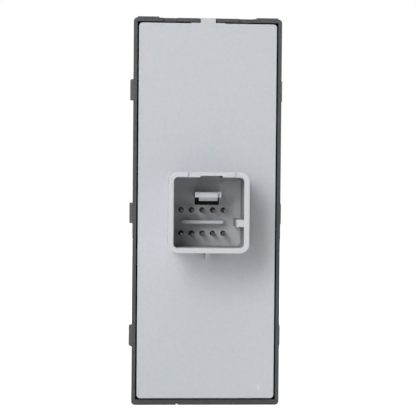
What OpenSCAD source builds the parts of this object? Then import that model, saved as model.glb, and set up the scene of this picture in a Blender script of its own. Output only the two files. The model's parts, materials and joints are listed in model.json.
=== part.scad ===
// Power window switch for a car door or console: a dark bezel with four window rockers
// and a lockout button, closed at the rear by a light grey base with a ten-pin socket.
// Built flat, with x across the switch, y along it from the bottom end and z towards the
// rear, then stood on its bottom end. The origin is the middle of the bezel's bottom end.

/* [Bezel] */
// Width of the bezel skirt
bezel_w = 35.9; // [34:0.1:40]
// Length of the bezel from the bottom end to the top end
bezel_l = 93.8; // [92:0.1:104]
// Depth of the bezel from its front face to the rear edge of the skirt
bezel_d = 17; // [16.6:0.1:19]
// Thickness of the skirt along both sides and across the top
skirt_t = 0.9; // [0.8:0.05:1.2]
// Thickness of the skirt across the bottom end
end_t = 1.3; // [1:0.05:1.8]
// Corner radius of the skirt, seen from the rear
bezel_r = 0.95; // [0.9:0.05:1.4]
// Radius of the edge round the front face
face_round = 0.9; // [0.4:0.05:0.9]
// Thickness of the front face
face_t = 1.8; // [1.4:0.1:2.4]
// Depth of the collar round the wells, from the front face
collar_d = 4; // [3.4:0.1:4.6]
// Width of the wall that the collar has round each well
collar_t = 0.8; // [0.6:0.05:1]
// Length of the raised pad at each top corner
corner_pad_l = 5.2; // [3:0.1:6]
// Height of the raised pad at each top corner
corner_pad_h = 0.25; // [0.1:0.05:0.5]

/* [Snap lugs] */
// Number of snap lugs along each side
lug_count = 3; // [2:1:3]
// Distance from one snap lug to the next
lug_pitch = 30.3; // [24:0.1:32]
// Length of a snap lug along the skirt
lug_l = 5; // [3:0.1:8]
// How far a snap lug stands out of the skirt
lug_out = 0.85; // [0.4:0.05:1.2]
// Depth of the crest of a snap lug below the rear edge of the skirt
lug_d = 6.4; // [5:0.1:8]
// Length of the lead-in slope of a snap lug
lug_ramp = 3.4; // [2:0.1:4.5]

/* [Base housing] */
// Gap between the base and the skirt
base_gap = 0.4; // [0.25:0.05:0.6]
// How far the base stands out behind the skirt
base_proud = 0.6; // [0.2:0.05:1]
// Thickness of the rear plate of the base
plate_t = 1.8; // [1.4:0.1:2.2]
// Corner radius of the base
base_r = 0.85; // [0.6:0.05:1.2]
// Radius of the rear edge of the base
base_edge = 0.15; // [0.1:0.05:0.55]
// Thickness of the side walls of the base
tray_t = 1.4; // [1:0.1:1.8]
// Width of the locating tongue at the top
tongue_w = 3.6; // [2.5:0.1:6]
// Width of the low step of the base at the foot of the tongue
tongue_step_w = 8.1; // [7:0.1:12]
// How far the foot step stands out of the base
tongue_step = 0.15; // [0.05:0.05:0.2]
// Number of retaining nubs along each side
nub_count = 4; // [2:1:5]
// Length of a retaining nub
nub_l = 4; // [2:0.1:6]
// How far a retaining nub reaches beyond the side of the base
nub_out = 0.7; // [0.65:0.01:0.75]

/* [Socket] */
// Outer width and height of the socket
shroud_w = 18.9; // [18:0.1:22]
// Wall thickness of the socket
shroud_t = 1.25; // [1:0.05:1.5]
// Outer corner radius of the socket
shroud_r = 2.2; // [1.8:0.05:2.8]
// Height of the socket above the base
shroud_h = 11; // [10:0.1:14]
// Radius of the outer edge of the rim
rim_edge = 0.15; // [0.1:0.05:0.5]
// Width of the slope round the inside of the rim
rim_slope = 0.15; // [0.1:0.05:0.4]
// Width of the keying rib on the right wall
key_w = 1.7; // [1:0.1:2.4]
// How far the keying rib reaches in from the wall
key_out = 1.75; // [1:0.05:2]
// Drop of the keying rib below the rim
key_drop = 0.6; // [0.2:0.1:2]
// Width of the two small nicks in the top of the rim
nick_w = 0.5; // [0.3:0.05:0.8]
// Depth of the nicks
nick_d = 0.3; // [0.1:0.05:0.5]
// Distance of the left nick from the middle, seen from the rear
left_nick_x = 4.7; // [3:0.1:7]
// Distance of the right nick from the middle, seen from the rear
right_nick_x = 6.2; // [3:0.1:7]
// Width of the recess in the top wall
recess_w = 5.2; // [3:0.1:7]
// Depth of the recess in the top wall
recess_d = 0.4; // [0.2:0.05:0.6]
// Distance of the recess from the middle, towards the key
recess_x = 0.5; // [0:0.1:1]
// Width of the rib under the socket
under_rib_w = 1.15; // [0.8:0.05:1.6]
// How far the rib under the socket stands out
under_rib_out = 1.8; // [1:0.1:2.5]
// Height of the rib under the socket above the base
under_rib_h = 5.5; // [3:0.1:8]

/* [Latch] */
// Width of the latch arm
latch_w = 6.2; // [5:0.1:7]
// Thickness of the latch arm
latch_t = 1.25; // [1:0.05:1.5]
// Height of the latch above the socket floor
latch_h = 7; // [5:0.1:7.5]
// Distance of the latch arm above the middle of the socket
latch_y = 3.5; // [3.3:0.05:4]
// Width of the latch nose
nose_w = 4.4; // [3:0.1:5]
// How far the latch nose hangs over the slot
nose_out = 0.82; // [0.4:0.02:1.1]
// Height of the latch nose
nose_h = 2.2; // [1.5:0.1:3]
// Width of the slot in the socket floor
slot_w = 5.9; // [4.5:0.1:6.5]
// Height of the slot in the socket floor, below the latch
slot_l = 1.87; // [1.5:0.01:2]

/* [Pins] */
// Number of pins in a row
pin_count = 5; // [3:1:5]
// Distance from one pin to the next
pin_pitch = 2.54; // [2:0.02:2.54]
// Distance between the two rows of pins
pin_rows = 5.6; // [5:0.1:6]
// Width of a square pin
pin_size = 0.64; // [0.5:0.02:0.8]
// Height of the pins above the socket floor
pin_h = 6.3; // [5:0.1:6.4]
// Diameter of the hole round each pin in the socket floor
pin_hole_d = 1.3; // [1.2:0.05:1.6]
// Distance of the pins from the middle of the socket, towards the key
pin_x = -1.13; // [-1.5:0.01:0]
// Distance of the pins from the middle of the socket, upwards
pin_y = -2.44; // [-2.6:0.01:-2.4]
// Length of the rib between the two rows
mid_rib_l = 9.9; // [6:0.1:11]
// Thickness of the rib between the two rows
mid_rib_t = 0.75; // [0.5:0.05:1]
// Height of the rib between the two rows
mid_rib_h = 2.5; // [1:0.1:5]

/* [Circuit board] */
// Thickness of the circuit board
board_t = 1.2; // [1:0.1:1.4]
// Gap between the circuit board and the rear plate
board_gap = 1.5; // [1.3:0.1:1.7]
// Play between the circuit board and the walls round it
board_play = 0.25; // [0.15:0.05:0.4]
// Thickness of the copper contact tracks
track_t = 0.1; // [0.05:0.01:0.15]
// Width of a contact track
track_w = 1.6; // [1:0.1:2]
// Length of a contact track
track_l = 3.4; // [2.5:0.1:3.8]
// Length of the controller chip
chip_l = 9; // [7:0.5:10]
// Width of the controller chip
chip_w = 6; // [4:0.5:7]
// Thickness of the controller chip
chip_t = 1.2; // [0.9:0.05:1.2]
// Distance from one leg of the chip to the next
chip_pitch = 1.27; // [0.8:0.01:1.27]
// Distance of the chip below the lockout button
chip_drop = 10; // [9:0.5:14]
// Length of a chip resistor
resistor_l = 1.6; // [1:0.1:2]
// Width of a chip resistor
resistor_w = 0.8; // [0.5:0.1:1.2]
// Height of a chip resistor
resistor_h = 0.5; // [0.3:0.05:0.8]
// Distance of the inner resistors from the middle of the board
resistor_x = 6; // [5:0.5:8]
// Distance of the nearest resistors from the middle of the socket
resistor_y = 15; // [12:0.5:20]
// Distance from one resistor to the next, across the board
resistor_pitch = 3; // [2.5:0.5:4]
// Length of a backlight lamp
lamp_l = 1.6; // [1.2:0.1:2]
// Width of a backlight lamp
lamp_w = 1.2; // [0.8:0.1:1.4]
// Height of a backlight lamp
lamp_h = 0.7; // [0.4:0.05:0.9]
// Distance of the upper lamp below the middle of the lockout button
lamp_drop = 5.5; // [4:0.1:6]

/* [Rockers] */
// Wall thickness of a rocker
rocker_t = 1.3; // [1.1:0.05:1.5]
// Height of the crown of a rocker above the front face
crown_h = 4; // [3:0.1:5]
// Radius of the crown of a rocker, seen from the side
crown_r = 42; // [36:1:60]
// Radius of the edges of a rocker
rocker_round = 1.1; // [0.5:0.1:1.2]
// Radius of the finger scoop
scoop_r = 14; // [10:0.5:18]
// Depth of the finger scoop
scoop_d = 1.5; // [0.8:0.1:1.8]
// Distance of the finger scoop below the middle of the rocker
scoop_y = 7.5; // [6:0.1:8]
// Gap round a rocker in its well
rocker_gap = 0.3; // [0.25:0.05:0.4]
// Width of the bar between the two columns of rockers
centre_bar = 1; // [0.8:0.1:1.4]
// Width of the bar between the two rows of rockers
row_bar = 3; // [2.4:0.1:4]
// Width of the border beside the rockers
side_border = 1.85; // [1.6:0.05:2.4]
// Height of the border below the lower rockers
bottom_border = 5.2; // [4.8:0.1:6]
// Height of the border above the lockout button
top_border = 7.2; // [6:0.1:9]
// Tilt of a rocker each way, in degrees
rocker_tilt = 8; // [5:0.5:8]
// Depth of the rocker pivot below the front face
pivot_drop = 3.2; // [3:0.1:3.4]
// Radius of the pivot pins
pivot_r = 1.2; // [0.9:0.05:1.4]
// Play between a pivot pin and its bore, on the radius
pivot_play = 0.05; // [0.03:0.01:0.08]
// Distance from the pivot to the barrel at the end of the leg
leg_l = 7.2; // [7:0.05:7.4]
// Radius of the barrel at the end of the leg
barrel_r = 1; // [0.8:0.05:1.1]

/* [Sliders] */
// Width of a contact slider
slider_w = 7; // [6:0.1:7.2]
// Length of a contact slider
slider_l = 12; // [10:0.1:12.4]
// Thickness of a contact slider
slider_t = 3.35; // [3.1:0.05:3.4]
// Running gap round a contact slider
slider_play = 0.15; // [0.1:0.01:0.2]
// Play of the barrel in the slot of the slider
barrel_play = 0.05; // [0.03:0.01:0.1]
// Thickness of the spring copper wipers
wiper_t = 0.2; // [0.15:0.01:0.25]
// Length of the flat middle of a wiper
wiper_l = 5.2; // [4.8:0.1:5.6]
// Length of each finger of a wiper
finger_l = 2.2; // [1.8:0.1:2.4]
// Width of each finger of a wiper
finger_w = 1.2; // [0.8:0.1:1.6]

/* [Centring springs] */
// Length of a centring spring at rest
spring_l = 4.4; // [4:0.1:5]
// Mean radius of a centring spring
spring_r = 1.1; // [0.9:0.05:1.2]
// Wire diameter of a centring spring
spring_wire = 0.34; // [0.25:0.01:0.4]
// Number of turns of a centring spring
spring_turns = 5; // [4:0.5:7]

/* [Lockout button] */
// Width of the lockout button
lock_w = 15; // [14:0.1:18]
// Length of the lockout button
lock_l = 13; // [12.6:0.1:14]
// Corner radius of the lockout button
lock_r = 1.6; // [1.2:0.1:2.2]
// Wall thickness of the lockout button
lock_t = 1.3; // [1.1:0.05:1.4]
// Height of the lockout button above the front face
lock_proud = 0.8; // [0.4:0.1:1.4]
// Travel of the lockout button
lock_travel = 1.5; // [1:0.1:1.6]
// Width of the bar between the upper rockers and the lockout button
lock_bar = 3.6; // [3:0.1:4]
// Mean radius of the return spring
lock_spring_r = 4.5; // [4.5:0.05:4.6]
// Wire diameter of the return spring
lock_wire = 0.4; // [0.3:0.02:0.45]
// Width of the square push switch under the lockout button
lock_switch_w = 5.4; // [5:0.1:5.4]

/* [Hidden] */
$fn = 48;

// Colours as the photograph shows them, and plain ones for what it hides
bezel_colour = "#5b5b59";
base_colour = "#c3c8cc";
board_colour = "#1d4a36";
copper_colour = "#b87d4b";
brass_colour = "#c9a35a";
rocker_colour = "#2b2b2d";
inner_colour = "#3a3a3c";

// Small sizes that only keep cuts clean
over = 0.5;
touch = 0.04;

// Depth levels, counted from the middle of the bezel towards the rear
face_z = -bezel_d / 2;
skirt_z = bezel_d / 2;
plate_z = skirt_z + base_proud;
plate_in_z = plate_z - plate_t;
board_rear_z = plate_in_z - board_gap;
board_front_z = board_rear_z - board_t;
pivot_z = face_z + pivot_drop;
barrel_z = pivot_z + leg_l;
collar_z = face_z + collar_d;
floor_t = 1.4;
slider_z = barrel_z - slider_t / 2;
floor_z = slider_z - slider_play;
floor_front_z = floor_z - floor_t;

// Outline of the base inside the skirt
base_w = bezel_w - 2 * skirt_t - 2 * base_gap;
base_l = bezel_l - skirt_t - end_t - 2 * base_gap;
base_y = end_t + base_gap + base_l / 2;

// Places of the wells in the front face: the rockers fill what the borders and bars leave
lock_well_l = lock_l + 2 * rocker_gap;
lock_well_w = lock_w + 2 * rocker_gap;
lock_y = bezel_l - top_border - lock_well_l / 2;
well_w = (bezel_w - centre_bar) / 2 - side_border;
well_l = (lock_y - lock_well_l / 2 - lock_bar - row_bar - bottom_border) / 2;
rocker_w = well_w - 2 * rocker_gap;
rocker_l = well_l - 2 * rocker_gap;
rocker_x = (centre_bar + well_w) / 2;
rear_row_y = bottom_border + well_l / 2;
front_row_y = rear_row_y + well_l + row_bar;
wells = [
    [-rocker_x, rear_row_y, well_w, well_l],
    [rocker_x, rear_row_y, well_w, well_l],
    [-rocker_x, front_row_y, well_w, well_l],
    [rocker_x, front_row_y, well_w, well_l],
    [0, lock_y, lock_well_w, lock_well_l]
];
well_r = 1.2;

// Sideways travel of a slider when its rocker is fully tilted
slider_travel = leg_l * rocker_tilt * PI / 180;
rail_t = 1;
rail_x = slider_w / 2 + slider_play;
stop_y = slider_l / 2 + spring_l;
stop_t = 1.2;
peg_r = spring_r - spring_wire / 2 - 0.2;
peg_l = 0.9;

// Tower that carries one end of a rocker pivot
tower_t = 1.6;
tower_r = 2.2;
tower_x = rocker_w / 2 - rocker_t - rocker_gap;
pin_reach = rocker_t + rocker_gap - 0.2;

// Board outline inside the base
board_w = base_w - 2 * tray_t - 2 * board_play;
board_l = base_l - 2 * tray_t - 2 * board_play;
post_r = 1.6;
post_pin_r = 0.9;
post_play = 0.1;
post_x = board_w / 2 - post_r - 0.3;
post_end = post_r + 0.8;
post_places = [
    for (side = [-1, 1])
        for (y = [base_y - board_l / 2 + post_end, (rear_row_y + front_row_y) / 2,
                  base_y + board_l / 2 - post_end])
            [side * post_x, y]
];

// Lockout button levels
lock_top_z = face_z - lock_proud;
lock_under_z = lock_top_z + lock_t + 0.2;
lock_skirt_z = floor_front_z - lock_travel - 0.7;
lock_switch_z = floor_front_z + 0.8;
stem_r = 2.2;
stem_z = lock_switch_z - lock_travel - 0.3;
plunger_r = 1.2;
hook_out = 0.6;
hook_t = 0.8;

// A rounded rectangle made of squares and circles, so that its corners are true arcs
module rounded_rect(w, l, r) {
    square([w - 2 * r, l], center = true);
    square([w, l - 2 * r], center = true);
    for (x = [-1, 1], y = [-1, 1])
        translate([x * (w / 2 - r), y * (l / 2 - r)])
            circle(r = r);
}

// Sweeps a profile round a rounded rectangle; the profile's x runs out from the corner centre
module swept_frame(w, l, r) {
    straight_x = w / 2 - r;
    straight_y = l / 2 - r;
    for (turn = [0, 180])
        rotate(turn) {
            translate([straight_x, straight_y])
                rotate_extrude(angle = 90)
                    children();
            translate([-straight_x, straight_y])
                rotate(90)
                    rotate_extrude(angle = 90)
                        children();
            translate([straight_x, straight_y])
                rotate([90, 0, 0])
                    linear_extrude(2 * straight_y)
                        children();
            translate([-straight_x, straight_y])
                rotate([90, 0, 90])
                    linear_extrude(2 * straight_x)
                        children();
        }
}

// Section from x0 to x1 and z0 to z1, with its upper outer corner rounded
module edge_section(x0, x1, z0, z1, r) {
    translate([x0, z0])
        square([x1 - x0 - r, z1 - z0]);
    translate([x0, z0])
        square([x1 - x0, z1 - z0 - r]);
    translate([x1 - r, z1 - r])
        intersection() {
            circle(r = r);
            square(r);
        }
}

// A slab with a rounded outline, whose upper edge is rounded too
module soft_slab(w, l, r, z0, z1, edge) {
    swept_frame(w, l, r)
        edge_section(0, r, z0, z1, edge);
    translate([0, 0, z0])
        linear_extrude(z1 - z0) {
            square([w - 2 * r, l - 2 * r], center = true);
        }
}

// Extrudes a profile drawn in (x, forward) along y
module along_y(l) {
    rotate([-90, 0, 0])
        linear_extrude(l, center = true)
            children();
}

// Extrudes a profile drawn in (y, forward) along x
module along_x(w) {
    rotate([-90, 0, 90])
        linear_extrude(w, center = true)
            children();
}

// A disc about an axis along x, with rounded rims
module rounded_disc(r, w, edge) {
    rotate([0, 90, 0])
        rotate_extrude($fn = 160) {
            square([r - edge, w / 2]);
            square([r, w / 2 - edge]);
            translate([r - edge, w / 2 - edge])
                circle(r = edge, $fn = 32);
            translate([0, -w / 2])
                square([r - edge, w / 2]);
            translate([0, edge - w / 2])
                square([r, w / 2 - edge]);
            translate([r - edge, edge - w / 2])
                circle(r = edge, $fn = 32);
        }
}

// A strip of even thickness along a path of points, in two dimensions
module strip(path, t) {
    for (i = [0 : len(path) - 2]) {
        step = path[i + 1] - path[i];
        translate(path[i])
            rotate(atan2(step[1], step[0]))
                translate([0, -t / 2])
                    square([norm(step), t]);
    }
    for (p = path)
        translate(p)
            circle(d = t, $fn = 24);
}

// Coil spring along z from 0 to its length, with a flat end turn at each end
coil_sides = 6;
coil_steps = 12;
module coil(r, wire, length, turns) {
    rings = ceil(turns * coil_steps);
    rise = length - wire;
    points = [
        for (i = [0 : rings])
            let (
                turn = 360 * turns * i / rings,
                share = i / rings,
                end = 0.8 / turns,
                eased = min(1, max(0, (share - end) / (1 - 2 * end))),
                z = wire / 2 + rise * eased
            )
            for (k = [0 : coil_sides - 1])
                let (a = 360 * k / coil_sides, out = r + wire / 2 * cos(a))
                [out * cos(turn), out * sin(turn), z + wire / 2 * sin(a)]
    ];
    sides = [
        for (i = [0 : rings - 1], k = [0 : coil_sides - 1])
            let (next = (k + 1) % coil_sides, a = i * coil_sides, b = a + coil_sides)
            [a + k, b + k, b + next, a + next]
    ];
    first = [for (k = [0 : coil_sides - 1]) k];
    last = [for (k = [coil_sides - 1 : -1 : 0]) rings * coil_sides + k];
    polyhedron(points, concat([first], sides, [last]));
}

// Stands the flat model up on its bottom end
module upright() {
    rotate([90, 0, 0])
        children();
}

// Places of the windows: side 1 is the left of the car seen from the front, row 1 is the front
module at_window(side, row) {
    upright()
        translate([side * rocker_x, row == 1 ? front_row_y : rear_row_y, 0])
            children();
}

// Bezel
module lug_profile() {
    crest = lug_d;
    polygon([
        [-touch, crest - lug_ramp],
        [0, crest - lug_ramp],
        [lug_out, crest - 0.5],
        [lug_out, crest + 0.3],
        [lug_out * 0.35, crest + 1.1],
        [-touch, crest + 1.1]
    ]);
}

module snap_lugs() {
    for (side = [0, 1])
        mirror([side, 0, 0])
            for (i = [0 : lug_count - 1])
                translate([bezel_w / 2, bezel_l / 2 - 0.4 + (i - (lug_count - 1) / 2) * lug_pitch, skirt_z])
                    along_y(lug_l)
                        lug_profile();
}

module corner_pads() {
    for (side = [-1, 1])
        translate([side * (bezel_w - bezel_r - corner_pad_l) / 2 - side * bezel_r / 2, bezel_l, 0])
            translate([-corner_pad_l / 2, -skirt_t, face_z + bezel_r])
                cube([corner_pad_l, skirt_t + corner_pad_h, bezel_d - bezel_r]);
}

module nub_places() {
    for (side = [0, 1])
        mirror([side, 0, 0])
            for (i = [0 : nub_count - 1])
                translate([base_w / 2, base_y + (i - (nub_count - 1) / 2) * base_l / nub_count, 0])
                    children();
}

module bezel_body() {
    difference() {
        translate([0, bezel_l / 2, 0])
            mirror([0, 0, 1])
                soft_slab(bezel_w, bezel_l, bezel_r, -skirt_z, -face_z, face_round);
        translate([0, end_t + (bezel_l - end_t - skirt_t) / 2, face_z + face_t])
            linear_extrude(bezel_d)
                square([bezel_w - 2 * skirt_t, bezel_l - end_t - skirt_t], center = true);
    }
}

module bezel_collar() {
    translate([0, 0, face_z + face_t - touch])
        linear_extrude(collar_d - face_t + touch)
            for (well = wells)
                translate([well[0], well[1]])
                    square([well[2] + 2 * collar_t, well[3] + 2 * collar_t], center = true);
}

module bezel_wells() {
    for (well = wells)
        translate([well[0], well[1], face_z - over])
            linear_extrude(collar_d + 2 * over)
                rounded_rect(well[2], well[3], well_r);
}

module bezel_notches() {
    notch_d = 0.5;
    tongue_play = 0.1;
    translate([-tongue_w / 2 - tongue_play, bezel_l - skirt_t - over, skirt_z - 3])
        cube([tongue_w + 2 * tongue_play, skirt_t + 2 * over, 3 + over]);
    for (side = [-1, 1])
        translate([side * (bezel_w / 2 - bezel_r - corner_pad_l - 2.6), bezel_l, skirt_z])
            cube([3.4, 2 * skirt_t + over, 2 * notch_d], center = true);
    translate([-6.9, 0, skirt_z])
        cube([0.5, 0.6, 8], center = true);
    nub_places()
        translate([-over, -nub_l / 2 - 0.2, plate_in_z - 4.4])
            cube([nub_out + 0.12 + over, nub_l + 0.4, 2.4]);
}

module bezel() {
    color(bezel_colour)
        upright()
            difference() {
                union() {
                    bezel_body();
                    bezel_collar();
                    snap_lugs();
                    corner_pads();
                }
                bezel_wells();
                bezel_notches();
            }
}

// Base housing
module base_tray() {
    difference() {
        translate([0, base_y, 0])
            soft_slab(base_w, base_l, base_r, floor_z, plate_z, base_edge);
        translate([-base_w / 2 + tray_t, base_y - base_l / 2 + tray_t, floor_z - over])
            cube([base_w - 2 * tray_t, base_l - 2 * tray_t, plate_in_z - floor_z + over]);
    }
}

module base_nubs() {
    nub_places()
        translate([0, 0, plate_in_z - 3.2])
            along_y(nub_l)
                polygon([
                    [-touch, -0.8],
                    [0, -0.8],
                    [nub_out, -0.2],
                    [nub_out, 0.5],
                    [0, 0.9],
                    [-touch, 0.9]
                ]);
}

module base_tongue() {
    tongue_t = 2.2;
    translate([-tongue_w / 2, base_y + base_l / 2 - base_r, plate_z - tongue_t])
        cube([tongue_w, base_r + base_gap + skirt_t, tongue_t - 0.15]);
    translate([-tongue_step_w / 2, base_y + base_l / 2 - base_r, plate_z - tongue_t])
        cube([tongue_step_w, base_r + tongue_step, tongue_t - 0.15]);
}

module shroud() {
    rim = plate_z + shroud_h;
    inner_r = shroud_r - shroud_t;
    swept_frame(shroud_w, shroud_w, shroud_r)
        difference() {
            edge_section(inner_r, shroud_r, plate_z - touch, rim, rim_edge);
            translate([inner_r, rim])
                rotate(45)
                    square(rim_slope * sqrt(2), center = true);
        }
}

module key_rib() {
    wall_x = shroud_w / 2 - shroud_t;
    translate([wall_x - key_out, pin_y - key_w / 2, plate_z - touch])
        cube([key_out + touch, key_w, shroud_h - key_drop + touch]);
}

module latch() {
    top = plate_z + latch_h;
    ear_drop = 0.7;
    translate([-latch_w / 2, latch_y, plate_z - touch])
        cube([latch_w, latch_t, latch_h - ear_drop + touch]);
    translate([0, latch_y, top])
        along_x(nose_w)
            polygon([
                [-nose_out, 0.9],
                [-nose_out, nose_h - 0.35],
                [0.15 - nose_out, nose_h - 0.15],
                [0, nose_h],
                [latch_t, nose_h],
                [latch_t, 0.25],
                [latch_t - 0.25, 0],
                [0, 0]
            ]);
}

module socket_ribs() {
    translate([pin_x - mid_rib_l / 2, pin_y - mid_rib_t / 2, plate_z - touch])
        cube([mid_rib_l, mid_rib_t, mid_rib_h + touch]);
    translate([-under_rib_w / 2, -shroud_w / 2 - under_rib_out, plate_z - touch])
        cube([under_rib_w, under_rib_out + shroud_t / 2, under_rib_h + touch]);
}

module pin_places() {
    for (row = [-1, 1], i = [0 : pin_count - 1])
        translate([pin_x + (i - (pin_count - 1) / 2) * pin_pitch, pin_y + row * pin_rows / 2, 0])
            children();
}

module board_posts() {
    for (place = post_places)
        translate([place[0], place[1], 0]) {
            translate([0, 0, board_rear_z])
                cylinder(r = post_r, h = board_gap + touch);
            translate([0, 0, board_front_z + 0.1])
                cylinder(r = post_pin_r, h = board_t);
        }
}

module base_housing() {
    color(base_colour)
        upright()
            difference() {
                union() {
                    base_tray();
                    base_nubs();
                    base_tongue();
                    board_posts();
                    translate([0, base_y, 0]) {
                        shroud();
                        key_rib();
                        latch();
                        socket_ribs();
                    }
                }
                translate([0, base_y, 0]) {
                    translate([0, 0, plate_in_z - over])
                        pin_places()
                            cylinder(d = pin_hole_d, h = plate_t + 2 * over);
                    translate([-slot_w / 2, latch_y - slot_l, plate_in_z - over])
                        cube([slot_w, slot_l, plate_t + 2 * over]);
                    translate([recess_x - recess_w / 2, shroud_w / 2 - shroud_t - over, plate_z + 1])
                        cube([recess_w, recess_d + over, shroud_h]);
                    for (x = [-left_nick_x, right_nick_x])
                        translate([x, (shroud_w - shroud_t) / 2, plate_z + shroud_h])
                            cube([nick_w, shroud_t + 2 * over, 2 * nick_d], center = true);
                }
            }
}

// Switch carrier: the floor with the pivot towers in front and the slider rails behind
module carrier_floor() {
    translate([0, base_y, floor_front_z])
        linear_extrude(floor_t)
            rounded_rect(base_w, base_l, base_r);
}

module carrier_bars() {
    base_low = base_y - base_l / 2;
    base_high = base_y + base_l / 2;
    bars = [
        [base_low, bottom_border - rocker_gap - base_low],
        [rear_row_y + well_l / 2, row_bar],
        [front_row_y + well_l / 2, lock_bar - 1],
        [lock_y + lock_well_l / 2 + 1, base_high - lock_y - lock_well_l / 2 - 1]
    ];
    for (bar = bars)
        translate([-base_w / 2 + base_r, bar[0], collar_z])
            cube([base_w - 2 * base_r, bar[1], floor_front_z - collar_z + touch]);
}

module pivot_towers() {
    for (side = [-1, 1])
        translate([side * (tower_x - tower_t / 2), 0, 0]) {
            translate([-tower_t / 2, -tower_r, pivot_z])
                cube([tower_t, 2 * tower_r, floor_front_z - pivot_z + touch]);
            translate([0, 0, pivot_z])
                rotate([0, 90, 0])
                    cylinder(r = tower_r, h = tower_t, center = true);
            translate([side * (tower_t - touch) / 2, 0, pivot_z])
                rotate([0, side * 90, 0])
                    cylinder(r = pivot_r, h = pin_reach + touch / 2);
        }
}

module slider_rails() {
    rail_d = board_front_z - floor_z;
    for (side = [-1, 1]) {
        translate([side * (rail_x + rail_t / 2), 0, floor_z + rail_d / 2 - touch / 2])
            cube([rail_t, 2 * (stop_y + stop_t), rail_d + touch], center = true);
        translate([0, side * (stop_y + stop_t / 2), floor_z + rail_d / 2 - touch / 2])
            cube([2 * rail_x + touch, stop_t, rail_d + touch], center = true);
        translate([0, side * (stop_y + touch), barrel_z])
            rotate([side * 90, 0, 0])
                cylinder(r = peg_r, h = peg_l + touch);
    }
}

module leg_slot() {
    reach = barrel_r + (floor_z - pivot_z) * tan(rocker_tilt) + 0.35;
    translate([-2, -reach, floor_front_z - over])
        cube([4, 2 * reach, floor_t + 2 * over]);
}

module solder_relief() {
    relief = 1.2;
    translate([pin_x, base_y + pin_y, board_front_z])
        cube([pin_count * pin_pitch + relief, pin_rows + 2 * relief, 2 * relief], center = true);
}

module switch_carrier() {
    color(inner_colour)
        upright()
            difference() {
                union() {
                    carrier_floor();
                    carrier_bars();
                    for (side = [-1, 1], y = [rear_row_y, front_row_y])
                        translate([side * rocker_x, y, 0]) {
                            pivot_towers();
                            slider_rails();
                        }
                }
                for (side = [-1, 1], y = [rear_row_y, front_row_y])
                    translate([side * rocker_x, y, 0])
                        leg_slot();
                solder_relief();
                translate([0, lock_y, floor_z - floor_t / 2])
                    cube([lock_switch_w + 0.4, lock_switch_w + 0.4, floor_t + 2 * over], center = true);
            }
}

// Circuit board and what is on it
module circuit_board() {
    hole_r = pin_size * 0.8;
    color(board_colour)
        upright()
            translate([0, 0, board_front_z])
                difference() {
                    translate([0, base_y, 0])
                        linear_extrude(board_t)
                            rounded_rect(board_w, board_l, 0.6);
                    translate([0, base_y, -over])
                        pin_places()
                            cylinder(r = hole_r, h = board_t + 2 * over);
                    for (place = post_places)
                        translate([place[0], place[1], -over])
                            cylinder(r = post_pin_r + post_play, h = board_t + 2 * over);
                }
}

module contact_tracks() {
    color(copper_colour)
        upright()
            for (side = [-1, 1], y = [rear_row_y, front_row_y])
                translate([side * rocker_x, y, board_front_z - track_t])
                    for (lane = [-1, 1], i = [-1, 0, 1])
                        translate([lane * slider_w / 4, i * slider_l / 3, 0])
                            linear_extrude(track_t)
                                square([track_w, track_l], center = true);
}

module pin_header() {
    strip_l = (pin_count - 1) * pin_pitch + 2.5;
    strip_w = 2.4;
    color(inner_colour)
        upright()
            translate([0, base_y, board_rear_z])
                difference() {
                    for (row = [-1, 1])
                        translate([pin_x - strip_l / 2, pin_y + row * pin_rows / 2 - strip_w / 2, 0])
                            cube([strip_l, strip_w, board_gap - 0.1]);
                    translate([0, 0, -over])
                        pin_places()
                            linear_extrude(board_gap + 2 * over)
                                square(pin_size + 0.02, center = true);
                }
}

module connector_pin() {
    foot = board_front_z - 0.4;
    tip = plate_z + pin_h;
    taper = 0.5;
    half = pin_size / 2;
    module blade() {
        rotate([90, 0, 0])
            linear_extrude(pin_size, center = true)
                polygon([[-half, foot], [half, foot], [half, tip - taper], [half / 2, tip],
                         [-half / 2, tip], [-half, tip - taper]]);
    }
    intersection() {
        blade();
        rotate(90)
            blade();
    }
}

module connector_pins() {
    color(brass_colour)
        upright()
            translate([0, base_y, 0])
                pin_places()
                    connector_pin();
}

module controller_chip() {
    legs = floor(chip_l / chip_pitch) - 1;
    leg_w = chip_pitch / 3;
    leg_out = chip_w / 6;
    leg_t = chip_t / 8;
    color("#202022")
        upright()
            translate([0, lock_y - chip_drop, board_rear_z]) {
                translate([-chip_l / 2, -chip_w / 2, touch])
                    cube([chip_l, chip_w, chip_t]);
                for (i = [0 : legs - 1])
                    translate([(i - (legs - 1) / 2) * chip_pitch - leg_w / 2, -chip_w / 2 - leg_out, 0])
                        cube([leg_w, chip_w + 2 * leg_out, leg_t]);
            }
}

module chip_resistors() {
    color("#8a8a86")
        upright()
            for (side = [-1, 1], i = [0, 1], row = [-1, 1])
                translate([side * (resistor_x + i * resistor_pitch), base_y + row * resistor_y, board_rear_z])
                    translate([-resistor_l / 2, -resistor_w / 2, 0])
                        cube([resistor_l, resistor_w, resistor_h]);
}

module backlight_leds() {
    color("#e8e2c8")
        upright()
            for (y = [rear_row_y, front_row_y, lock_y - lamp_drop])
                translate([-lamp_l / 2, y - lamp_w / 2, board_front_z - lamp_h])
                    cube([lamp_l, lamp_w, lamp_h]);
}

// A window rocker about its pivot
module rocker_outer(inset, edge) {
    intersection() {
        rounded_disc(rocker_l / 2 - inset, rocker_w - 2 * inset, edge);
        translate([0, 0, -pivot_drop - crown_h + crown_r])
            rounded_disc(crown_r - inset, rocker_w - 2 * inset, edge);
    }
}

module scoop(inset) {
    crown_at_scoop = crown_h + sqrt(crown_r * crown_r - scoop_y * scoop_y) - crown_r;
    translate([0, -scoop_y, -pivot_drop - crown_at_scoop + scoop_d - scoop_r])
        rotate([0, 90, 0])
            cylinder(r = scoop_r + inset, h = 2 * rocker_w, center = true, $fn = 96);
}

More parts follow.
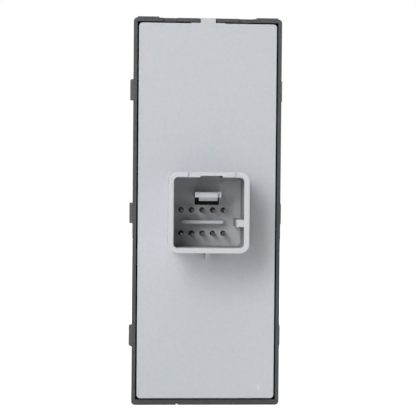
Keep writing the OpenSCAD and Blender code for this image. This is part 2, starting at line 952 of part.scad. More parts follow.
// The walls of a rocker: everything above its skirt line, less the hollow inside
module rocker_walls() {
    skirt_lift = 0.4;
    difference() {
        translate([-rocker_w, -rocker_l, -rocker_l - skirt_lift])
            cube([2 * rocker_w, 2 * rocker_l, rocker_l]);
        difference() {
            rocker_outer(rocker_t, 0.3);
            scoop(rocker_t);
        }
    }
}

module rocker_bosses() {
    boss_r = pivot_r + 1.2;
    for (side = [-1, 1])
        translate([side * (rocker_w - rocker_t) / 2, 0, 0]) {
            rotate([0, 90, 0])
                cylinder(r = boss_r, h = rocker_t, center = true);
            translate([0, 0, -boss_r / 2])
                cube([rocker_t, 2 * boss_r, boss_r], center = true);
        }
}

module rocker_leg() {
    leg_w = 3;
    root = pivot_drop + crown_h;
    along_x(leg_w)
        polygon([[-1.6, root], [-1, 0], [-0.7, -leg_l], [0.7, -leg_l], [1, 0], [1.6, root]]);
    translate([0, 0, leg_l])
        rotate([0, 90, 0])
            cylinder(r = barrel_r, h = leg_w, center = true);
}

module rocker() {
    difference() {
        intersection() {
            rocker_outer(0, rocker_round);
            union() {
                rocker_walls();
                rocker_bosses();
                rocker_leg();
            }
        }
        scoop(0);
        for (side = [-1, 1])
            translate([side * rocker_w / 2, 0, 0])
                rotate([0, 90, 0])
                    cylinder(r = pivot_r + pivot_play, h = 2 * rocker_t + over, center = true);
    }
}

module placed_rocker(side, row) {
    color(rocker_colour)
        at_window(side, row)
            translate([0, 0, pivot_z])
                rocker();
}

// A contact slider, driven by the barrel of its rocker
module slider() {
    pocket_w = 3.4;
    difference() {
        union() {
            translate([-slider_w / 2, -slider_l / 2, slider_z])
                cube([slider_w, slider_l, slider_t]);
            for (side = [-1, 1])
                translate([0, side * (slider_l / 2 - touch), barrel_z])
                    rotate([-side * 90, 0, 0])
                        cylinder(r = peg_r, h = peg_l + touch);
        }
        translate([-pocket_w / 2, -barrel_r - barrel_play, slider_z - over])
            cube([pocket_w, 2 * (barrel_r + barrel_play), slider_t + 2 * over]);
    }
}

module placed_slider(side, row) {
    color("#e6e4dc")
        at_window(side, row)
            slider();
}

module wiper() {
    base_z = slider_z + slider_t;
    wiper_w = slider_w * 0.83;
    rise = board_front_z - track_t - 0.06 - base_z - wiper_t;
    half_l = wiper_l / 2;
    translate([-wiper_w / 2, -half_l, base_z])
        cube([wiper_w, wiper_l, wiper_t]);
    for (lane = [-1, 1], side = [0, 1])
        mirror([0, side, 0])
            translate([lane * slider_w / 4, half_l, base_z + wiper_t / 2])
                along_x(finger_w)
                    strip([
                        [-wiper_t, 0],
                        [finger_l * 0.2, 0],
                        [finger_l * 0.73, -rise],
                        [finger_l, -rise * 0.6]
                    ], wiper_t);
}

module placed_wiper(side, row) {
    color(copper_colour)
        at_window(side, row)
            wiper();
}

// A centring spring above (end 1) or below (end -1) a slider
module placed_spring(side, row, end) {
    seat = 0.02;
    color("#b9bcc0")
        at_window(side, row)
            translate([0, end * (slider_l / 2 + seat), barrel_z])
                rotate([-end * 90, 0, 0])
                    coil(spring_r, spring_wire, spring_l - 2 * seat, spring_turns);
}

// Lockout button
module lock_button() {
    guide_z = lock_skirt_z - hook_t;
    color(rocker_colour)
        upright()
            translate([0, lock_y, 0]) {
                difference() {
                    mirror([0, 0, 1])
                        soft_slab(lock_w, lock_l, lock_r, -lock_skirt_z, -lock_top_z, 0.7);
                    translate([0, 0, lock_under_z])
                        linear_extrude(bezel_d)
                            rounded_rect(lock_w - 2 * lock_t, lock_l - 2 * lock_t, lock_r / 2);
                }
                for (side = [-1, 1])
                    translate([side * (lock_w - lock_t + hook_out) / 2, 0, guide_z + hook_t / 2])
                        cube([lock_t + hook_out, 4, hook_t], center = true);
                difference() {
                    translate([0, 0, lock_under_z - touch])
                        cylinder(r = stem_r, h = stem_z - lock_under_z + touch);
                    translate([0, 0, lock_under_z + 1])
                        cylinder(r = plunger_r + 0.02, h = stem_z - lock_under_z);
                }
            }
}

module lock_plunger() {
    color("#e6e4dc")
        upright()
            translate([0, lock_y, lock_under_z + 1.05])
                cylinder(r = plunger_r, h = board_front_z - 1 - lock_travel - 0.3 - lock_under_z - 1.05);
}

module lock_spring() {
    seat = 0.03;
    color("#b9bcc0")
        upright()
            translate([0, lock_y, lock_under_z + seat])
                coil(lock_spring_r, lock_wire, floor_front_z - lock_under_z - 2 * seat, 4);
}

module lock_switch_body() {
    color("#202022")
        upright()
            translate([0, lock_y, 0])
                difference() {
                    translate([-lock_switch_w / 2, -lock_switch_w / 2, lock_switch_z])
                        cube([lock_switch_w, lock_switch_w, board_front_z - lock_switch_z]);
                    translate([0, 0, lock_switch_z - over])
                        cylinder(r = plunger_r + 0.05, h = board_front_z - 1 - lock_switch_z + over);
                }
}

bezel();
base_housing();
switch_carrier();
circuit_board();
contact_tracks();
pin_header();
connector_pins();
controller_chip();
chip_resistors();
backlight_leds();
placed_rocker(1, 1);  // rocker_front_left
placed_rocker(-1, 1);  // rocker_front_right
placed_rocker(1, 0);  // rocker_rear_left
placed_rocker(-1, 0);  // rocker_rear_right
placed_slider(1, 1);  // slider_front_left
placed_slider(-1, 1);  // slider_front_right
placed_slider(1, 0);  // slider_rear_left
placed_slider(-1, 0);  // slider_rear_right
placed_wiper(1, 1);  // wiper_front_left
placed_wiper(-1, 1);  // wiper_front_right
placed_wiper(1, 0);  // wiper_rear_left
placed_wiper(-1, 0);  // wiper_rear_right
placed_spring(1, 1, 1);  // spring_front_left_upper
placed_spring(1, 1, -1);  // spring_front_left_lower
placed_spring(-1, 1, 1);  // spring_front_right_upper
placed_spring(-1, 1, -1);  // spring_front_right_lower
placed_spring(1, 0, 1);  // spring_rear_left_upper
placed_spring(1, 0, -1);  // spring_rear_left_lower
placed_spring(-1, 0, 1);  // spring_rear_right_upper
placed_spring(-1, 0, -1);  // spring_rear_right_lower
lock_button();
lock_plunger();
lock_spring();
lock_switch_body();
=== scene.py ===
"""Looks of the power window switch: finishes, printed symbols, studio and camera."""
import json
import math

import bpy
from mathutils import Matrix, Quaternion, Vector
from mathutils.bvhtree import BVHTree


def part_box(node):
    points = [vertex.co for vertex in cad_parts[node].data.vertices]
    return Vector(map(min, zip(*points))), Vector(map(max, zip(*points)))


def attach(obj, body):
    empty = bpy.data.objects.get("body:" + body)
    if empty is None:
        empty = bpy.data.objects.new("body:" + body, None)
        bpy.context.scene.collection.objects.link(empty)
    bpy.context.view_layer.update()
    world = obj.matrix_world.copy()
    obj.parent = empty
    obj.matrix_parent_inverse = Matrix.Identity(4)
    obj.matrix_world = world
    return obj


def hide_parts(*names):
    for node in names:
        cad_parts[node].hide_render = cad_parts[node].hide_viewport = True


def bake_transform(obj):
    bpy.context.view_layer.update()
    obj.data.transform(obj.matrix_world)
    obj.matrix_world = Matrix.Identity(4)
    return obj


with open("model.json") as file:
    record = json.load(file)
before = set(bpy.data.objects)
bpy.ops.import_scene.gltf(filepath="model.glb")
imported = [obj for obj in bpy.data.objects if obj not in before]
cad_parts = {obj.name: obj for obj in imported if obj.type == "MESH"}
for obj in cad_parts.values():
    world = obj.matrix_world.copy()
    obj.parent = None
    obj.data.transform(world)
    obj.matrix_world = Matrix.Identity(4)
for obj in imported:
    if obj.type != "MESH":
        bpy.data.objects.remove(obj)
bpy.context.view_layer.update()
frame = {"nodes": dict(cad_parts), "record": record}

MM = 0.001
WINDOWS = ("front_left", "front_right", "rear_left", "rear_right")
nodes = frame["nodes"]

# The photograph's frame and what was measured in it
PHOTO_SIDE_PX = 416
SCALE_PX_PER_MM = 4.131
BODY_CENTRE_PX = (206.8, 211.9)
SOCKET_HEIGHT = 11 * MM

# Camera
CAMERA_DISTANCE = 270 * MM
CAMERA_LEFT_DEG = 3.0
CAMERA_ABOVE_DEG = 1.3
CAMERA_ROLL_DEG = -0.5
CAMERA_NEAR_CLIP = 10 * MM
SENSOR_MM = 36

# Printed symbols on the rockers and the lockout button, in millimetres
PRINT_THICK = 0.02
PRINT_LINE = 0.32
PRINT_FACE_LENGTH = 0.4
PRINT_CAST_FROM = 20
PRINT_WELD = 0.001
PRINT_COLOUR = "#d9dbd8"
WINDOW_OUTLINE = ((-2.6, -1.5), (2.6, -1.5), (2.6, 0.1), (1.1, 1.6), (-2.6, 1.6))
WINDOW_SYMBOL_UP = 7.6
ARROW_LENGTH = 1.1
ARROW_HALF_WIDTH = 0.55
UP_ARROW_CENTRE = (-1.1, 0.05)
DOWN_ARROW_CENTRE = (0.5, 0.05)
PADLOCK_BODY = (2.6, 2.0)
PADLOCK_BODY_CENTRE = -0.6
PADLOCK_GRID = 4
SHACKLE_RADIUS = 0.85
SHACKLE_FOOT = 0.2
SHACKLE_BEND_CENTRE = 1.1
SHACKLE_STEPS = 12

# Finishes: the colours are written as they look on screen
WHITE = (1, 1, 1, 1)
SMOOTH_FINISHES = {  # slot: colour, roughness
    "base_plastic": ("#c7cacf", 0.42),
    "chip_ceramic": ("#8a8a86", 0.5),
    "lamp_resin": ("#e8e0c4", 0.3),
    "slider_plastic": ("#e4e1d6", 0.45),
}
GRAINED_FINISHES = {  # slot: colour, roughness, size and depth of the grain in millimetres
    "bezel_plastic": ("#4e4f50", 0.62, 0.22, 0.03),
    "carrier_plastic": ("#2c2c2e", 0.5, 0.3, 0.01),
    "header_plastic": ("#1e1e20", 0.5, 0.3, 0.01),
    "chip_plastic": ("#18181a", 0.45, 0.1, 0.008),
    "rocker_plastic": ("#2d2d2f", 0.5, 0.16, 0.02),
}
METAL_FINISHES = {  # slot: colour, roughness, how much finer the draw lines are along x, y, z
    "copper": ("#c58a5a", 0.3, (1, 1, 6)),
    "pin_metal": ("#8f8a82", 0.26, (8, 1, 8)),
    "spring_steel": ("#c3c6ca", 0.28, (1, 1, 1)),
}
BOARD_COLOUR = "#1d4a37"
SMOOTH_SPECULAR = 0.15
GRAINED_SPECULAR = 0.3
WARM_TINT = (1.012, 0.997, 0.992)
COOL_TINT = (0.988, 1.003, 1.006)
DUST_TINT = (1.0, 0.99, 0.975, 1)
NOISE_SPAN = (0.3, 0.7)  # noise lies mostly between these

# Painted shade in gaps and in the socket: how far it is felt, how open a place is where it
# starts and ends, and how much of the colour is left
SHADE_SAMPLES = 8
GAP_REACH = 4 * MM
GAP_OPENNESS = (0.25, 0.6)
GAP_KEEPS = 0.25
POCKET_REACH = 20 * MM
POCKET_OPENNESS = (0.3, 0.5)
POCKET_FLOOR_KEEPS = 0.98
POCKET_WALLS_KEEP = 0.45

# Painted highlight on the top of the socket's rim, and a rub mark on the base housing
RIM_HIGHLIGHT_COLOUR = "#cdd0d3"
RIM_HIGHLIGHT_REACH = 0.5 * MM
SCUFF_COLOUR = "#d6dadd"
SCUFF_X, SCUFF_Z = 12.95 * MM, 4.25 * MM
SCUFF_HALF_SIZE = (0.45 * MM, 1 * MM, 1.1 * MM)
SCUFF_SHARE = 0.6

# Floor, world and lamps, in metres
FLOOR_HALF_SIZE = 0.8
FLOOR_COLOUR = "#f4f4f4"
FLOOR_ROUGHNESS = 0.9
FLOOR_GLOW_AT = (0.15, 0.6)
FLOOR_GLOW = (0.55, 1.0)
FILL_COLOUR = (0.96, 0.98, 1.0, 1)
FILL_STRENGTH = 0.075
LAMPS = (  # name, direction from the aim point, distance, side, power in watts
    ("key", (-0.62, -1, 0.77), 1.2, 0.5, 6.5),
    ("left_side", (-0.75, -1, 0.3), 1.2, 0.5, 3.9),
    ("above", (-0.3, -1, 1.7), 1.2, 0.7, 2.8),
    ("front_side", (0.35, 1, 0.6), 0.8, 0.6, 3.0),
    ("right_side", (1, 0.5, 0.45), 0.8, 0.4, 1.5),
)

# Sockets of Blender's Mix node when it mixes colours
MIX_FIRST, MIX_SECOND, MIX_RESULT = 6, 7, 2


def linear(hex_colour):
    """The linear RGBA of a colour written as it looks on screen."""
    channels = [int(hex_colour[i:i + 2], 16) / 255 for i in (1, 3, 5)]
    curved = [c / 12.92 if c <= 0.04045 else ((c + 0.055) / 1.055) ** 2.4 for c in channels]
    return (*curved, 1.0)


def scaled(colour, factor):
    """A linear colour made lighter or darker; factor is a number or one per channel."""
    factors = factor if isinstance(factor, tuple) else (factor,) * 3
    return (*[min(1.0, c * f) for c, f in zip(colour[:3], factors)], 1.0)


class Graph:
    """A material's node tree, with short calls to add and join nodes."""

    def __init__(self, name):
        self.material = bpy.data.materials.new(name)
        self.material.use_nodes = True
        self.tree = self.material.node_tree
        self.shader = self.tree.nodes["Principled BSDF"]
        self.place = self.add("ShaderNodeTexCoord").outputs["Object"]

    def add(self, kind, **settings):
        node = self.tree.nodes.new(kind)
        for name, value in settings.items():
            setattr(node, name, value)
        return node

    def join(self, output, socket):
        self.tree.links.new(output, socket)

    def noise(self, size_mm, detail, stretch=None):
        """Noise whose features are about size_mm across; stretch scales its axes."""
        node = self.add("ShaderNodeTexNoise")
        node.inputs["Scale"].default_value = 1 / (size_mm * MM)
        node.inputs["Detail"].default_value = detail
        source = self.place
        if stretch:
            mapping = self.add("ShaderNodeMapping")
            mapping.inputs["Scale"].default_value = stretch
            self.join(self.place, mapping.inputs["Vector"])
            source = mapping.outputs["Vector"]
        self.join(source, node.inputs["Vector"])
        return node.outputs["Fac"]

    def ramp(self, value, low, high, start, end):
        """One colour up to a start value, another from an end value on, a blend between."""
        node = self.add("ShaderNodeValToRGB")
        node.color_ramp.elements[0].position = start
        node.color_ramp.elements[0].color = low
        node.color_ramp.elements[1].position = end
        node.color_ramp.elements[1].color = high
        self.join(value, node.inputs["Fac"])
        return node.outputs["Color"]

    def remap(self, value, span, result):
        """Maps one span of numbers to another and stays at its ends outside it."""
        node = self.add("ShaderNodeMapRange")
        node.inputs["From Min"].default_value, node.inputs["From Max"].default_value = span
        node.inputs["To Min"].default_value, node.inputs["To Max"].default_value = result
        self.join(value, node.inputs["Value"])
        return node.outputs["Result"]

    def axis_of(self, vector, axis):
        """One of the three numbers of a vector."""
        node = self.add("ShaderNodeSeparateXYZ")
        self.join(vector, node.inputs[0])
        return node.outputs[axis]

    def multiply(self, first, second):
        """The product of two colours."""
        node = self.add("ShaderNodeMix", data_type="RGBA", blend_type="MULTIPLY")
        node.inputs["Factor"].default_value = 1.0
        self.join(first, node.inputs[MIX_FIRST])
        self.join(second, node.inputs[MIX_SECOND])
        return node.outputs[MIX_RESULT]

    def mix(self, share, first, second):
        """One colour where share is 0 and the other where it is 1."""
        node = self.add("ShaderNodeMix", data_type="RGBA")
        self.join(share, node.inputs["Factor"])
        self.join(first, node.inputs[MIX_FIRST])
        self.join(second, node.inputs[MIX_SECOND])
        return node.outputs[MIX_RESULT]

    def paler(self, colour, pale, share):
        """The colour turned to a plain pale one by a share that varies over the surface."""
        node = self.add("ShaderNodeMix", data_type="RGBA")
        node.inputs[MIX_SECOND].default_value = linear(pale)
        self.join(share, node.inputs["Factor"])
        self.join(colour, node.inputs[MIX_FIRST])
        return node.outputs[MIX_RESULT]

    def openness(self, reach):
        """How open a place is to its surroundings, from 0 to 1."""
        node = self.add("ShaderNodeAmbientOcclusion", samples=SHADE_SAMPLES)
        node.inputs["Distance"].default_value = reach
        return node.outputs["AO"]

    def gap_shade(self, colour):
        """Painted shade: darkens a colour deep inside a narrow gap."""
        shade = self.ramp(self.openness(GAP_REACH), scaled(WHITE, GAP_KEEPS), WHITE, *GAP_OPENNESS)
        return self.multiply(colour, shade)

    def pocket_shade(self, colour):
        """Painted shade: darkens a colour deep inside the socket, its walls more than its floor."""
        open_share = self.openness(POCKET_REACH)
        floor = self.ramp(open_share, scaled(WHITE, POCKET_FLOOR_KEEPS), WHITE, *POCKET_OPENNESS)
        walls = self.ramp(open_share, scaled(WHITE, POCKET_WALLS_KEEP), WHITE, *POCKET_OPENNESS)
        normal = self.add("ShaderNodeTexCoord").outputs["Normal"]
        faces_rear = self.add("ShaderNodeMath", operation="ABSOLUTE")
        self.join(self.axis_of(normal, "Y"), faces_rear.inputs[0])
        return self.multiply(colour, self.mix(faces_rear.outputs[0], walls, floor))

    def paint_rim_highlight(self, colour, rim_y):
        """Painted highlight: paler at the top of the socket's rim."""
        height = self.remap(self.axis_of(self.place, "Y"), (rim_y + RIM_HIGHLIGHT_REACH, rim_y), (0, 1))
        patches = self.remap(self.noise(size_mm=0.9, detail=3), NOISE_SPAN, (0.7, 1))
        # Strength of the painted highlight: strongest at the rim's top, in patches
        worn = self.add("ShaderNodeMath", operation="MULTIPLY")
        self.join(height, worn.inputs[0])
        self.join(patches, worn.inputs[1])
        return self.paler(colour, RIM_HIGHLIGHT_COLOUR, worn.outputs[0])

    def scuff(self, colour, plate_y):
        """The faint pale rub mark, oval, low on the right of the rear plate."""
        mapping = self.add("ShaderNodeMapping", vector_type="TEXTURE")
        mapping.inputs["Location"].default_value = (SCUFF_X, plate_y, SCUFF_Z)
        mapping.inputs["Scale"].default_value = SCUFF_HALF_SIZE
        self.join(self.place, mapping.inputs["Vector"])
        away = self.add("ShaderNodeVectorMath", operation="LENGTH")
        self.join(mapping.outputs["Vector"], away.inputs[0])
        share = self.remap(away.outputs["Value"], (1, 0.3), (0, SCUFF_SHARE))
        return self.paler(colour, SCUFF_COLOUR, share)

    def bump(self, height, depth_mm, after=None):
        """The normal of a surface with this height, on top of another bump if one is given."""
        node = self.add("ShaderNodeBump")
        node.inputs["Strength"].default_value = 1.0
        node.inputs["Distance"].default_value = depth_mm * MM
        self.join(height, node.inputs["Height"])
        if after:
            self.join(after, node.inputs["Normal"])
        return node.outputs["Normal"]

    def finish(self, colour, roughness, normal):
        self.join(colour, self.shader.inputs["Base Color"])
        self.join(roughness, self.shader.inputs["Roughness"])
        self.join(normal, self.shader.inputs["Normal"])
        return self.material


def smooth_plastic(name, colour, roughness):
    """Plain moulded plastic: faint warm and cool mottling and a few fine specks."""
    graph = Graph(name)
    graph.shader.inputs["Specular IOR Level"].default_value = SMOOTH_SPECULAR
    warm, cool = scaled(linear(colour), WARM_TINT), scaled(linear(colour), COOL_TINT)
    mottle = graph.ramp(graph.noise(size_mm=2.2, detail=2), warm, cool, start=0.4, end=0.6)
    clouds = graph.ramp(graph.noise(size_mm=0.9, detail=2), scaled(WHITE, 0.975), WHITE, start=0.4, end=0.6)
    specks = graph.ramp(graph.noise(size_mm=0.35, detail=4), scaled(WHITE, 0.965), WHITE, start=0.32, end=0.5)
    tint = graph.multiply(graph.multiply(mottle, clouds), specks)
    if name == "base_plastic":
        rim_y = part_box("base_housing")[0].y
        # Painted highlight at the top of the socket's rim
        tint = graph.paint_rim_highlight(tint, rim_y)
        tint = graph.scuff(tint, rim_y + SOCKET_HEIGHT)
        # Painted shade deep in the socket
        tint = graph.pocket_shade(tint)
    rough = graph.remap(graph.noise(size_mm=1.6, detail=3), NOISE_SPAN, (roughness - 0.05, roughness + 0.06))
    waves = graph.bump(graph.noise(size_mm=14, detail=1), depth_mm=0.05)
    grain = graph.bump(graph.noise(size_mm=0.3, detail=3), depth_mm=0.004, after=waves)
    return graph.finish(tint, rough, grain)


def grained_plastic(name, colour, roughness, grain_mm, grain_depth_mm):
    """Dark plastic with a spark-eroded grain, paler on its high spots, a little dusty, and with painted shade
    deep in narrow gaps.
    """
    graph = Graph(name)
    graph.shader.inputs["Specular IOR Level"].default_value = GRAINED_SPECULAR
    base = linear(colour)
    grain = graph.noise(grain_mm, detail=3)
    peaks = graph.ramp(grain, scaled(base, 0.8), scaled(base, 1.22), start=0.35, end=0.65)
    dust = graph.ramp(graph.noise(size_mm=6, detail=4), WHITE, DUST_TINT, start=0.45, end=0.7)
    # Painted shade deep in narrow gaps
    tint = graph.gap_shade(graph.multiply(peaks, dust))
    rough = graph.remap(graph.noise(size_mm=1.2, detail=3), NOISE_SPAN, (roughness - 0.06, roughness + 0.08))
    return graph.finish(tint, rough, graph.bump(grain, grain_depth_mm))


def drawn_metal(name, colour, roughness, stretch):
    """Metal with fine draw lines along its length and a little tarnish."""
    graph = Graph(name)
    graph.shader.inputs["Metallic"].default_value = 1.0
    base = linear(colour)
    patches = graph.noise(size_mm=0.8, detail=4)
    tarnish = graph.ramp(patches, scaled(base, 0.62), scaled(base, 1.12), start=0.35, end=0.62)
    lines = graph.noise(size_mm=0.12, detail=3, stretch=stretch)
    rough = graph.remap(lines, NOISE_SPAN, (roughness - 0.08, roughness + 0.12))
    return graph.finish(tarnish, rough, graph.bump(lines, depth_mm=0.006))


def solder_mask(name, colour):
    """Green board lacquer with the glass weave faint under it."""
    graph = Graph(name)
    graph.shader.inputs["Specular IOR Level"].default_value = SMOOTH_SPECULAR
    base = linear(colour)
    threads = graph.noise(size_mm=0.7, detail=2)
    weave = graph.ramp(threads, scaled(base, 0.8), scaled(base, 1.25), start=0.4, end=0.6)
    rough = graph.remap(graph.noise(size_mm=3, detail=2), NOISE_SPAN, (0.4, 0.5))
    return graph.finish(weave, rough, graph.bump(graph.noise(size_mm=0.5, detail=2), depth_mm=0.01))


def print_ink(name, colour):
    """Pad-printed ink: flat, even and a little worn."""
    graph = Graph(name)
    base = linear(colour)
    wear = graph.ramp(graph.noise(size_mm=0.25, detail=4), scaled(base, 0.72), base, start=0.3, end=0.45)
    rough = graph.remap(graph.noise(size_mm=0.8, detail=2), NOISE_SPAN, (0.5, 0.65))
    return graph.finish(wear, rough, graph.bump(graph.noise(size_mm=0.2, detail=2), depth_mm=0.004))


def make_materials():
    """Each material slot of the record with its finish."""
    materials = {"board_laminate": solder_mask("board_laminate", BOARD_COLOUR)}
    for table, make in ((SMOOTH_FINISHES, smooth_plastic), (GRAINED_FINISHES, grained_plastic),
                        (METAL_FINISHES, drawn_metal)):
        for slot, values in table.items():
            materials[slot] = make(slot, *values)
    return materials


def dress_nodes(materials):
    """Gives every CAD node the finish of its material slot."""
    for part in frame["record"]["subparts"]:
        for slot in nodes[part["node"]].material_slots:
            slot.material = materials[part["material_slot"]]


def rails(path, width, closed):
    """The left and right edges of a line of even width along a path, mitred at its corners."""
    points = [Vector(p) for p in path]
    count = len(points)
    left, right = [], []
    for i, point in enumerate(points):
        ways = []
        if closed or i > 0:
            ways.append((point - points[i - 1]).normalized())
        if closed or i < count - 1:
            ways.append((points[(i + 1) % count] - point).normalized())
        normals = [Vector((-way.y, way.x)) for way in ways]
        mitre = sum(normals, Vector((0, 0)))
        mitre = mitre / mitre.dot(normals[0]) * width / 2
        left.append(point + mitre)
        right.append(point - mitre)
    return left, right


def line_faces(path, closed=False):
    """A drawn line as short four-sided faces in the plane."""
    left, right = rails(path, PRINT_LINE, closed)
    faces = []
    for i in range(len(left) if closed else len(left) - 1):
        j = (i + 1) % len(left)
        pieces = max(1, math.ceil((left[j] - left[i]).length / PRINT_FACE_LENGTH))
        for k in range(pieces):
            a, b = k / pieces, (k + 1) / pieces
            faces.append([left[i].lerp(left[j], a), right[i].lerp(right[j], a),
                          right[i].lerp(right[j], b), left[i].lerp(left[j], b)])
    return faces


def block_faces(width, height, centre_v, steps):
    """A filled rectangle as a grid of faces."""
    def at(i, j):
        return Vector(((i / steps - 0.5) * width, (j / steps - 0.5) * height + centre_v))
    return [[at(i, j), at(i + 1, j), at(i + 1, j + 1), at(i, j + 1)]
            for i in range(steps) for j in range(steps)]


def arrow_face(centre, way):
    """A small solid arrowhead that points up (way 1) or down (way -1)."""
    u, v = centre
    tip, foot = v + way * ARROW_LENGTH / 2, v - way * ARROW_LENGTH / 2
    corners = [Vector((u - ARROW_HALF_WIDTH, foot)), Vector((u + ARROW_HALF_WIDTH, foot)), Vector((u, tip))]
    return corners if way > 0 else corners[::-1]


def window_symbol():
    """A plain car window with an arrow up and an arrow down in it."""
    arrows = [arrow_face(UP_ARROW_CENTRE, 1), arrow_face(DOWN_ARROW_CENTRE, -1)]
    return line_faces(WINDOW_OUTLINE, closed=True) + arrows


def padlock_symbol():
    """A plain padlock: a filled body and a shackle."""
    turns = [math.pi * i / SHACKLE_STEPS for i in range(SHACKLE_STEPS + 1)]
    bend = [(SHACKLE_RADIUS * math.cos(a), SHACKLE_BEND_CENTRE + SHACKLE_RADIUS * math.sin(a)) for a in turns]
    shackle = [(SHACKLE_RADIUS, SHACKLE_FOOT), *bend, (-SHACKLE_RADIUS, SHACKLE_FOOT)]
    return block_faces(*PADLOCK_BODY, PADLOCK_BODY_CENTRE, PADLOCK_GRID) + line_faces(shackle)


def print_symbol(name, faces, node, centre, body, ink):
    """Lays flat faces, as seen from the front, on the front of a CAD node."""
    mesh = nodes[node].data
    surface = BVHTree.FromPolygons([v.co for v in mesh.vertices], [p.vertices for p in mesh.polygons])
    points, polygons = [], []
    for face in faces:
        start = len(points)
        for u, v in face:
            origin = centre + Vector((-u * MM, PRINT_CAST_FROM * MM, v * MM))
            place, normal, _, _ = surface.ray_cast(origin, Vector((0, -1, 0)))
            points.append(place + normal * PRINT_THICK * MM)
        polygons.append(list(range(start, len(points))))
    data = bpy.data.meshes.new(name)
    data.from_pydata(points, [], polygons)
    data.materials.append(ink)
    symbol = bpy.data.objects.new(name, data)
    bpy.context.scene.collection.objects.link(symbol)
    weld = symbol.modifiers.new("weld", "WELD")
    weld.merge_threshold = PRINT_WELD * MM
    thicken = symbol.modifiers.new("thickness", "SOLIDIFY")
    thicken.thickness = PRINT_THICK * MM
    thicken.offset = 0
    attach(symbol, body)


def print_symbols():
    """A window symbol on each rocker and a padlock on the lockout button."""
    ink = print_ink("print_ink", PRINT_COLOUR)
    for window in WINDOWS:
        rocker = f"rocker_{window}"
        low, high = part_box(rocker)
        centre = (low + high) / 2 + Vector((0, 0, WINDOW_SYMBOL_UP * MM))
        print_symbol(f"symbol_{window}", window_symbol(), rocker, centre, rocker, ink)
    low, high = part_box("lock_button")
    print_symbol("symbol_lock", padlock_symbol(), "lock_button", (low + high) / 2, "lock", ink)


def place_springs():
    """Each spring that the record lists for a joint is copied as a still coil, and the CAD spring is hidden.
    """
    for joint in frame["record"]["behaviour"]["joints"]:
        for spring in joint.get("deforming_nodes", []):
            name = spring["node"]
            letter = spring["mode"][-1]
            axis = "xyz".index(letter)
            fixed = spring[f"fixed_end_{letter}_m"]
            low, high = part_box(name)
            start, end = (low + high) / 2, (low + high) / 2
            start[axis] = fixed
            end[axis] = max(low[axis], high[axis], key=lambda place: abs(place - fixed))
            coil = bpy.data.objects.new(f"coil_{name}", nodes[name].data.copy())
            bpy.context.scene.collection.objects.link(coil)
            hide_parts(name)
            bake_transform(coil)


def make_floor():
    """A plain pale floor that keeps the shadow of the switch and turns plain white farther out."""
    size = FLOOR_HALF_SIZE
    corners = [(-size, -size, 0), (size, -size, 0), (size, size, 0), (-size, size, 0)]
    mesh = bpy.data.meshes.new("floor")
    mesh.from_pydata(corners, [], [(0, 1, 2, 3)])
    floor = bpy.data.objects.new("floor", mesh)
    bpy.context.scene.collection.objects.link(floor)
    graph = Graph("floor")
    graph.shader.inputs["Base Color"].default_value = linear(FLOOR_COLOUR)
    graph.shader.inputs["Roughness"].default_value = FLOOR_ROUGHNESS
    graph.shader.inputs["Emission Color"].default_value = WHITE
    away = graph.add("ShaderNodeVectorMath", operation="LENGTH")
    graph.join(graph.place, away.inputs[0])
    lift = graph.add("ShaderNodeMath", operation="MULTIPLY")
    graph.join(graph.remap(away.outputs["Value"], FLOOR_GLOW_AT, FLOOR_GLOW), lift.inputs[0])
    graph.join(graph.add("ShaderNodeLightPath").outputs["Is Camera Ray"], lift.inputs[1])
    graph.join(lift.outputs[0], graph.shader.inputs["Emission Strength"])
    mesh.materials.append(graph.material)


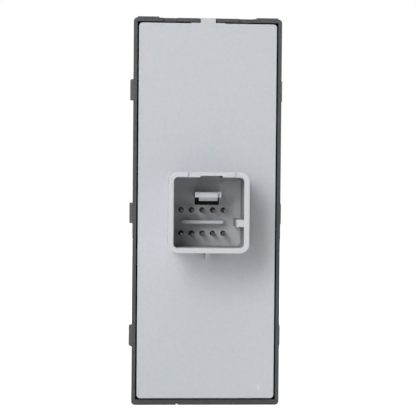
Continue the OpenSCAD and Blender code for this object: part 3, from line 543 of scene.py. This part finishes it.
def make_world():
    """Dim even light from all round; the camera, reflections and glass see plain white."""
    world = bpy.data.worlds.new("studio")
    bpy.context.scene.world = world
    world.use_nodes = True
    tree = world.node_tree
    tree.nodes.clear()
    fill, white = [tree.nodes.new("ShaderNodeBackground") for _ in range(2)]
    fill.inputs["Color"].default_value = FILL_COLOUR
    fill.inputs["Strength"].default_value = FILL_STRENGTH
    white.inputs["Color"].default_value = WHITE
    white.inputs["Strength"].default_value = 1.0
    path = tree.nodes.new("ShaderNodeLightPath")
    seen = path.outputs["Is Camera Ray"]
    for kind in ("Is Glossy Ray", "Is Transmission Ray"):
        either = tree.nodes.new("ShaderNodeMath")
        either.operation = "MAXIMUM"
        tree.links.new(seen, either.inputs[0])
        tree.links.new(path.outputs[kind], either.inputs[1])
        seen = either.outputs[0]
    choose = tree.nodes.new("ShaderNodeMixShader")
    tree.links.new(seen, choose.inputs[0])
    tree.links.new(fill.outputs[0], choose.inputs[1])
    tree.links.new(white.outputs[0], choose.inputs[2])
    output = tree.nodes.new("ShaderNodeOutputWorld")
    tree.links.new(choose.outputs[0], output.inputs["Surface"])


def make_lamps(target):
    """Square soft lamps: three light the rear as in the photograph, two the hidden sides."""
    for name, direction, distance, side, power in LAMPS:
        data = bpy.data.lights.new(name, "AREA")
        data.shape = "SQUARE"
        data.size = side
        data.energy = power
        lamp = bpy.data.objects.new(name, data)
        away = Vector(direction).normalized()
        lamp.location = target + away * distance
        lamp.rotation_mode = "QUATERNION"
        lamp.rotation_quaternion = (-away).to_track_quat("-Z", "Y")
        bpy.context.scene.collection.objects.link(lamp)


def make_camera():
    """The photograph's view: straight at the rear, from a little to the left and above."""
    low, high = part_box("bezel")
    plate_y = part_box("base_housing")[0].y + SOCKET_HEIGHT
    centre_px = PHOTO_SIDE_PX / 2
    metre_per_px = MM / SCALE_PX_PER_MM
    aim = Vector((
        (low.x + high.x) / 2 + (centre_px - BODY_CENTRE_PX[0]) * metre_per_px,
        plate_y,
        (low.z + high.z) / 2 + (BODY_CENTRE_PX[1] - centre_px) * metre_per_px,
    ))
    left, above = math.radians(CAMERA_LEFT_DEG), math.radians(CAMERA_ABOVE_DEG)
    level = math.cos(above)
    away = Vector((-math.sin(left) * level, -math.cos(left) * level, math.sin(above)))
    data = bpy.data.cameras.new("camera")
    data.sensor_width = SENSOR_MM
    data.lens = SENSOR_MM * CAMERA_DISTANCE / (PHOTO_SIDE_PX * metre_per_px)
    data.clip_start = CAMERA_NEAR_CLIP
    camera = bpy.data.objects.new("camera", data)
    camera.location = aim + away * CAMERA_DISTANCE
    camera.rotation_mode = "QUATERNION"
    towards = (-away).to_track_quat("-Z", "Y")
    camera.rotation_quaternion = towards @ Quaternion((0, 0, 1), math.radians(-CAMERA_ROLL_DEG))
    bpy.context.scene.collection.objects.link(camera)
    bpy.context.scene.camera = camera
    return aim


bpy.context.scene.view_settings.view_transform = "Standard"
aim_point = make_camera()
dress_nodes(make_materials())
print_symbols()
place_springs()
make_floor()
make_world()
make_lamps(aim_point)
